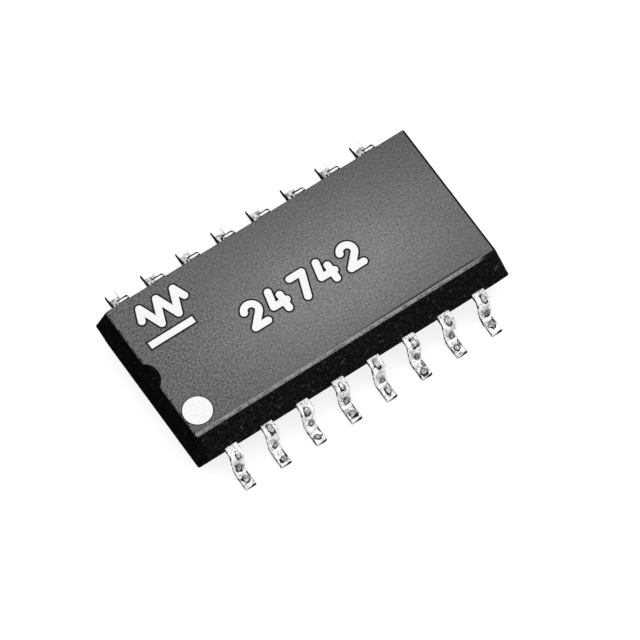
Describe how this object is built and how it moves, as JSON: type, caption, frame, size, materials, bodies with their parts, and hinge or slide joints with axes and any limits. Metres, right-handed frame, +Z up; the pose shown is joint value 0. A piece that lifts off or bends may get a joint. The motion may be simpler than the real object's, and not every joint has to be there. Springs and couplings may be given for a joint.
{
  "type": "surface-mount resistor network",
  "caption": "Flat black moulded package with gull-wing leads along both long sides, holding a ceramic plate with printed resistors between opposite leads.",
  "frame": {"origin": "centre of the footprint, on the plane that the solder feet stand on", "axes": "+X along the body away from the notched end, +Y across the body towards leads 9 to 16, +Z up through the marked face"},
  "size_m": [0.0112, 0.0076, 0.0024],
  "materials": {
    "black_epoxy": "matte moulded epoxy with a fine grain",
    "solder_coat": "bright dipped solder",
    "alumina": "fired ceramic",
    "silver_print": "fired silver palladium film",
    "resistor_print": "fired resistive film",
    "overglaze": "fired glass",
    "joint_solder": "reflowed solder",
    "white_ink": "screened epoxy ink"
  },
  "bodies": {
    "root": {"moulded_body": "black_epoxy", "lead_01": "solder_coat", "lead_02": "solder_coat", "lead_03": "solder_coat", "lead_04": "solder_coat", "lead_05": "solder_coat", "lead_06": "solder_coat", "lead_07": "solder_coat", "lead_08": "solder_coat", "lead_09": "solder_coat", "lead_10": "solder_coat", "lead_11": "solder_coat", "lead_12": "solder_coat", "lead_13": "solder_coat", "lead_14": "solder_coat", "lead_15": "solder_coat", "lead_16": "solder_coat", "alumina_substrate": "alumina", "conductor_pad_01": "silver_print", "conductor_pad_02": "silver_print", "conductor_pad_03": "silver_print", "conductor_pad_04": "silver_print", "conductor_pad_05": "silver_print", "conductor_pad_06": "silver_print", "conductor_pad_07": "silver_print", "conductor_pad_08": "silver_print", "conductor_pad_09": "silver_print", "conductor_pad_10": "silver_print", "conductor_pad_11": "silver_print", "conductor_pad_12": "silver_print", "conductor_pad_13": "silver_print", "conductor_pad_14": "silver_print", "conductor_pad_15": "silver_print", "conductor_pad_16": "silver_print", "resistor_film_1": "resistor_print", "resistor_film_2": "resistor_print", "resistor_film_3": "resistor_print", "resistor_film_4": "resistor_print", "resistor_film_5": "resistor_print", "resistor_film_6": "resistor_print", "resistor_film_7": "resistor_print", "resistor_film_8": "resistor_print", "glass_overcoat": "overglaze", "solder_joint_01": "joint_solder", "solder_joint_02": "joint_solder", "solder_joint_03": "joint_solder", "solder_joint_04": "joint_solder", "solder_joint_05": "joint_solder", "solder_joint_06": "joint_solder", "solder_joint_07": "joint_solder", "solder_joint_08": "joint_solder", "solder_joint_09": "joint_solder", "solder_joint_10": "joint_solder", "solder_joint_11": "joint_solder", "solder_joint_12": "joint_solder", "solder_joint_13": "joint_solder", "solder_joint_14": "joint_solder", "solder_joint_15": "joint_solder", "solder_joint_16": "joint_solder"}
  },
  "joints": []
}
